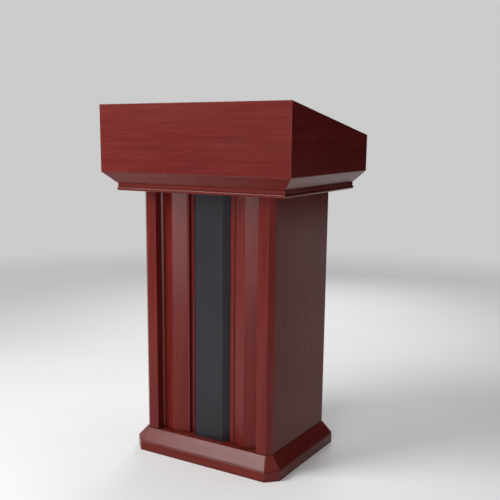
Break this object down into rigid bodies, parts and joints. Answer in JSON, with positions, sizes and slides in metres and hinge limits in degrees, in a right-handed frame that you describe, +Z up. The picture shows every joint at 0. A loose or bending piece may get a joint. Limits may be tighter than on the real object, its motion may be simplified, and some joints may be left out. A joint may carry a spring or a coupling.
{
  "type": "lectern podium",
  "caption": "Free-standing wooden lectern: sloping head with a drawer, panelled column with hinged rear doors and a shelf, and a moulded plinth.",
  "frame": {"origin": "on the floor under the middle of the whole outline, drawer knobs included", "axes": "+Z up; +Y towards the speaker, who has the doors and the drawer; -Y towards the audience; +X to the right of someone facing the audience side"},
  "size_m": [0.68, 0.56, 1.1498],
  "materials": {
    "mahogany_veneer": "red-brown mahogany veneer under semi-gloss lacquer",
    "raw_board": "plain board and softwood, unfinished",
    "drawer_board": "pale foil-faced drawer board, satin",
    "black_insert": "charcoal black laminate, semi-gloss",
    "zinc_steel": "zinc-plated steel, satin",
    "hinge_brass": "brass-plated steel, satin",
    "satin_nickel": "satin nickel plate",
    "catch_plastic": "brown moulded plastic, matt"
  },
  "bodies": {
    "carcass": {"head_front_panel": "mahogany_veneer", "head_side_left": "mahogany_veneer", "head_side_right": "mahogany_veneer", "writing_board": "mahogany_veneer", "paper_stop_rail": "mahogany_veneer", "skirt_right": "mahogany_veneer", "skirt_front": "mahogany_veneer", "skirt_left": "mahogany_veneer", "skirt_rear": "mahogany_veneer", "neck_board": "mahogany_veneer", "bead_board": "mahogany_veneer", "corner_post_left": "mahogany_veneer", "corner_post_right": "mahogany_veneer", "front_backing_panel": "mahogany_veneer", "flank_board_left": "mahogany_veneer", "flank_board_right": "mahogany_veneer", "column_side_left": "mahogany_veneer", "column_side_right": "mahogany_veneer", "shelf": "mahogany_veneer", "plinth_right": "mahogany_veneer", "plinth_corner_right": "mahogany_veneer", "plinth_front": "mahogany_veneer", "plinth_corner_left": "mahogany_veneer", "plinth_left": "mahogany_veneer", "plinth_rear": "mahogany_veneer", "base_deck": "mahogany_veneer", "head_floor": "raw_board", "writing_board_cleats": "raw_board", "plinth_bearers": "raw_board", "wood_dowels": "raw_board", "insert_panel": "black_insert", "cam_discs": "zinc_steel", "cam_bolts": "zinc_steel", "hinge_frame_screws": "zinc_steel", "shelf_pins": "zinc_steel", "slide_fixed_rails": "zinc_steel", "hinge_frame_leaves": "hinge_brass", "hinge_pins": "hinge_brass", "magnetic_catches": "catch_plastic"},
    "door_left": {"door_left_panel": "mahogany_veneer", "door_left_knob": "satin_nickel", "door_left_hinge_leaves": "hinge_brass", "door_left_hinge_screws": "zinc_steel", "door_left_strike_plate": "zinc_steel"},
    "door_right": {"door_right_panel": "mahogany_veneer", "door_right_knob": "satin_nickel", "door_right_hinge_leaves": "hinge_brass", "door_right_hinge_screws": "zinc_steel", "door_right_strike_plate": "zinc_steel", "door_lock_housing": "satin_nickel"},
    "door_lock": {"door_lock_plug": "satin_nickel", "door_lock_cam": "zinc_steel"},
    "drawer": {"drawer_front": "mahogany_veneer", "drawer_side_left": "drawer_board", "drawer_side_right": "drawer_board", "drawer_back": "drawer_board", "drawer_bottom": "drawer_board", "drawer_knobs": "satin_nickel", "slide_moving_rails": "zinc_steel"},
    "slide_middle": {"slide_middle_rails": "zinc_steel"}
  },
  "joints": [
    {"name": "door_left_hinge", "type": "hinge", "parent": "carcass", "child": "door_left", "pos_m": [-0.2227, 0.1835, 0.4765], "axis": [0, 0, 1], "range_deg": [0, 180]},
    {"name": "door_right_hinge", "type": "hinge", "parent": "carcass", "child": "door_right", "pos_m": [0.2227, 0.1835, 0.4765], "axis": [0, 0, -1], "range_deg": [0, 180]},
    {"name": "door_lock_turn", "type": "hinge", "parent": "door_right", "child": "door_lock", "pos_m": [0.0275, 0.18, 0.5565], "axis": [0, 1, 0], "range_deg": [0, 90]},
    {"name": "drawer_slide", "type": "slide", "parent": "carcass", "child": "drawer", "axis": [0, 1, 0], "range_m": [0, 0.22]},
    {"name": "slide_middle_travel", "type": "slide", "parent": "carcass", "child": "slide_middle", "axis": [0, 1, 0], "range_m": [0, 0.11]}
  ],
  "couplings": [
    {"joint": "slide_middle_travel", "follows": "drawer_slide", "ratio": 0.5}
  ]
}
